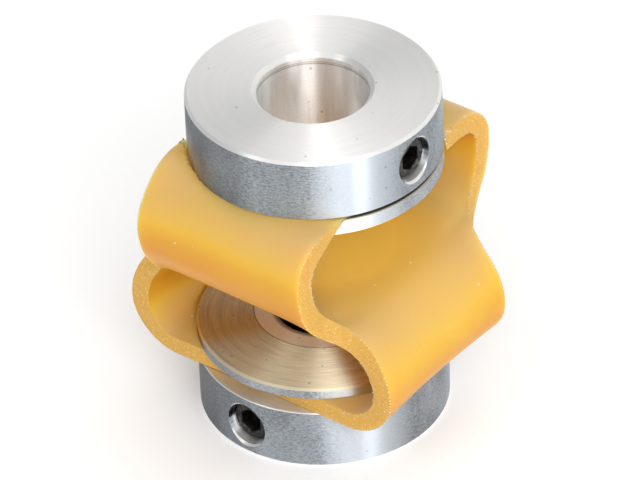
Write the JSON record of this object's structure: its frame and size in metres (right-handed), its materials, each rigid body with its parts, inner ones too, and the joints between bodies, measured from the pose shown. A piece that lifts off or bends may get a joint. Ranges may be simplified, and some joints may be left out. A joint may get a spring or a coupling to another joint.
{
  "type": "flexible shaft coupling",
  "caption": "Flexible shaft coupling: two turned hubs with clamp discs and set screws, joined by a moulded element of crossed strip loops that lets parallel shafts run out of line.",
  "frame": {"origin": "centre of the coupling: on the shaft axis, halfway between the two end faces", "axes": "+Z along the shaft axis towards the end with the larger bore; +X the way the upper set screw points, along the upper loop's tube; -Y the way the lower set screw points, along the lower loop's tube"},
  "size_m": [0.0336, 0.0342, 0.04],
  "materials": {
    "turned_aluminium": "fine turned, satin",
    "disc_aluminium": "turned rings, bright rim",
    "black_steel": "black oxide, slightly oily",
    "amber_polyurethane": "translucent amber moulding, satin, with rough cut edges"
  },
  "bodies": {
    "lower_end": {"lower_hub": "turned_aluminium", "lower_clamp_disc": "disc_aluminium"},
    "element": {"flex_element": "amber_polyurethane"},
    "upper_end": {"upper_hub": "turned_aluminium", "upper_clamp_disc": "disc_aluminium"},
    "upper_screw": {"upper_set_screw": "black_steel"},
    "lower_screw": {"lower_set_screw": "black_steel"}
  },
  "joints": [
    {"name": "lower_loop_shift", "type": "slide", "parent": "lower_end", "child": "element", "axis": [1, 0, 0], "range_m": [-0.0025, 0.0025], "stiffness_N_per_m": 5000, "deforming": ["flex_element"]},
    {"name": "upper_loop_shift", "type": "slide", "parent": "element", "child": "upper_end", "axis": [0, 1, 0], "range_m": [-0.0025, 0.0025], "stiffness_N_per_m": 5000},
    {"name": "upper_screw_travel", "type": "slide", "parent": "upper_end", "child": "upper_screw", "axis": [1, 0, 0], "range_m": [-0.0008, 0.004]},
    {"name": "lower_screw_travel", "type": "slide", "parent": "lower_end", "child": "lower_screw", "axis": [0, -1, 0], "range_m": [-0.0016, 0.004]}
  ]
}
